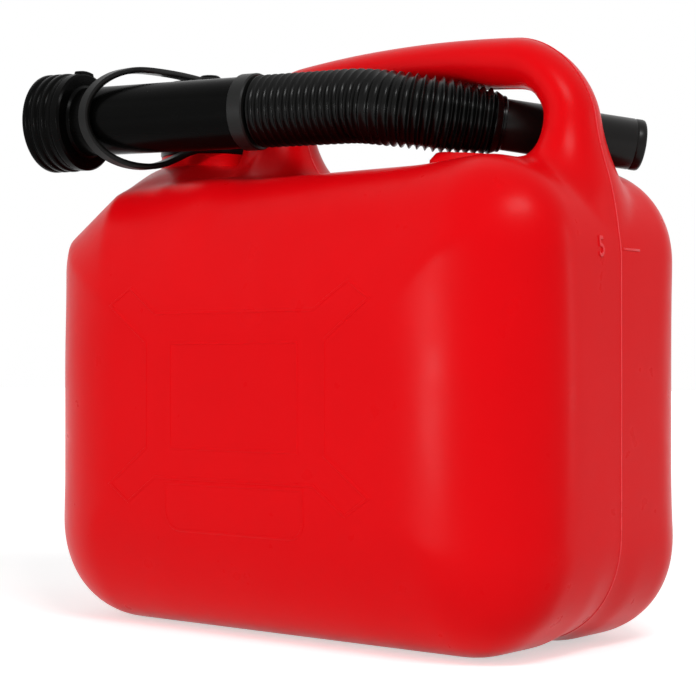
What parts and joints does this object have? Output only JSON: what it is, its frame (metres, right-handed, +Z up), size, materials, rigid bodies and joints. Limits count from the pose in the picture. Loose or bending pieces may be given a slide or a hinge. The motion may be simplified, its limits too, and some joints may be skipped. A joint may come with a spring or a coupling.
{
  "type": "plastic fuel can",
  "caption": "Blow-moulded fuel can with a hollow handle, a screw cap on a tether strap, and a flexible pouring spout stowed through the handle.",
  "frame": {"origin": "centre of the can's base, on the plane that the can stands on", "axes": "+X along the wide side, from the neck towards the handle's far leg; +Y from the front face, where the spout passes, to the back; +Z up"},
  "size_m": [0.2652, 0.1548, 0.246],
  "materials": {
    "red_hdpe": "semi-gloss blow-moulded polyethylene",
    "black_polypropylene": "semi-gloss injection moulding",
    "black_polyethylene": "soft satin moulding",
    "dark_grey_polyethylene": "matt moulding",
    "seal_rubber": "matt rubber washer"
  },
  "bodies": {
    "can": {"can_body": "red_hdpe", "cap_strap": "black_polyethylene"},
    "cap_carrier": {"cap_seal": "seal_rubber"},
    "cap": {"screw_cap": "black_polypropylene"},
    "spout": {"spout_base": "black_polypropylene", "spout_seal": "seal_rubber", "hose_collar": "dark_grey_polyethylene", "flex_hose": "black_polyethylene"},
    "nozzle_end": {"nozzle": "black_polyethylene", "nozzle_cuff": "black_polyethylene"}
  },
  "joints": [
    {"name": "cap_lift", "type": "slide", "parent": "can", "child": "cap_carrier", "axis": [0, 0, 1], "range_m": [0, 0.008], "deforming": ["cap_strap"]},
    {"name": "cap_turn", "type": "hinge", "parent": "cap_carrier", "child": "cap", "pos_m": [-0.0852, 0, 0.2111], "axis": [0, 0, 1], "range_deg": [0, 720]},
    {"name": "spout_pull", "type": "slide", "parent": "can", "child": "spout", "axis": [-0.9832, -0.1817, 0.0168], "range_m": [0, 0.024], "deforming": ["flex_hose"]},
    {"name": "nozzle_follow", "type": "slide", "parent": "spout", "child": "nozzle_end", "axis": [0.4693, -0.8602, 0.1993], "range_m": [0, 0.01449]}
  ],
  "couplings": [
    {"joint": "cap_lift", "follows": "cap_turn", "m_per_rad": 0.00063661},
    {"joint": "nozzle_follow", "follows": "spout_pull", "ratio": 0.6036}
  ]
}
